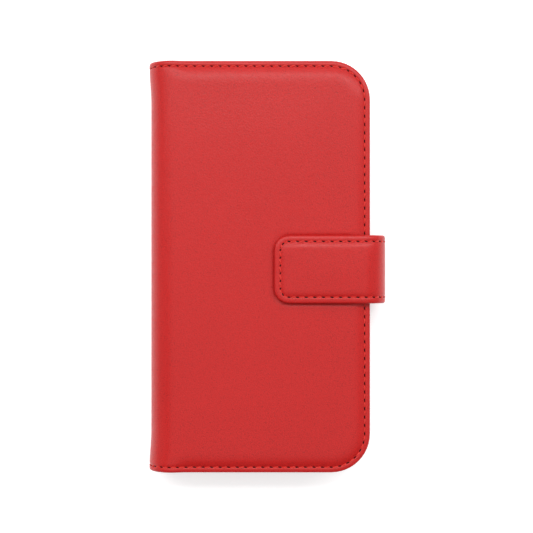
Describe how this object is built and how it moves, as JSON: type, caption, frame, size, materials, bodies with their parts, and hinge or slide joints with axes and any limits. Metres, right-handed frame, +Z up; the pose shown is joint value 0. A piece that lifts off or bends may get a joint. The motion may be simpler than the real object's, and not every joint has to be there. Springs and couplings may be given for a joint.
{
  "type": "phone wallet case",
  "caption": "Book-style leather phone wallet case with a rounded spine, a padded front cover, card pockets, a moulded phone tray and a magnetic strap.",
  "frame": {"origin": "under the middle of the closed case, on the surface that it lies on", "axes": "+X from the spine to the free edge, +Y to the top of the phone, +Z up through the front cover"},
  "size_m": [0.0886, 0.154, 0.0221],
  "materials": {
    "leather": "smooth full-grain look, satin, red",
    "lining": "brushed microfibre, dark red",
    "pocket": "smooth satin, red",
    "thread": "waxed polyester thread, red",
    "board": "grey board, hidden",
    "foam": "soft foam, hidden",
    "pad": "double-sided adhesive foam, hidden",
    "tray": "moulded flexible polyurethane, matt black",
    "steel": "plain plate, hidden"
  },
  "bodies": {
    "back_cover": {"back_outer_leather": "leather", "back_board": "board", "back_lining": "lining", "back_edge_thread": "thread", "camera_window_thread": "thread", "tray_adhesive_pad": "pad", "phone_tray": "tray", "strap_tail": "leather"},
    "spine": {"spine_outer_leather": "leather", "spine_reinforcement": "board", "spine_lining": "lining", "spine_thread_bottom": "thread", "spine_thread_top": "thread"},
    "front_cover": {"front_outer_leather": "leather", "front_foam": "foam", "front_catch_plate": "steel", "front_board": "board", "front_lining": "lining", "front_edge_thread": "thread", "cash_pocket_panel": "pocket", "card_pocket_3": "pocket", "card_pocket_2": "pocket", "card_pocket_1": "pocket"},
    "strap_side": {"strap_side_leather": "leather", "strap_side_lining": "lining"},
    "strap_flap": {"strap_flap_leather": "leather", "strap_flap_lining": "lining", "strap_flap_padding": "foam", "strap_magnet": "steel", "strap_flap_thread": "thread"},
    "volume_up": {"volume_up_button": "tray"},
    "volume_down": {"volume_down_button": "tray"},
    "power": {"side_button": "tray"}
  },
  "joints": [
    {"name": "spine_fold", "type": "hinge", "parent": "back_cover", "child": "spine", "pos_m": [-0.0419, 0, 0.00245], "axis": [0, -1, 0], "range_deg": [0, 90]},
    {"name": "cover_fold", "type": "hinge", "parent": "spine", "child": "front_cover", "pos_m": [-0.0419, 0, 0.01675], "axis": [0, -1, 0], "range_deg": [0, 90]},
    {"name": "strap_root_fold", "type": "hinge", "parent": "back_cover", "child": "strap_side", "pos_m": [0.04263, 0, 0.00222], "axis": [0, 1, 0], "range_deg": [0, 90]},
    {"name": "strap_tip_fold", "type": "hinge", "parent": "strap_side", "child": "strap_flap", "pos_m": [0.04203, 0, 0.01978], "axis": [0, 1, 0], "range_deg": [0, 90]},
    {"name": "volume_up_press", "type": "slide", "parent": "back_cover", "child": "volume_up", "axis": [1, 0, 0], "range_m": [0, 0.0004], "stiffness_N_per_m": 600},
    {"name": "volume_down_press", "type": "slide", "parent": "back_cover", "child": "volume_down", "axis": [1, 0, 0], "range_m": [0, 0.0004], "stiffness_N_per_m": 600},
    {"name": "power_press", "type": "slide", "parent": "back_cover", "child": "power", "axis": [-1, 0, 0], "range_m": [0, 0.0004], "stiffness_N_per_m": 600}
  ]
}
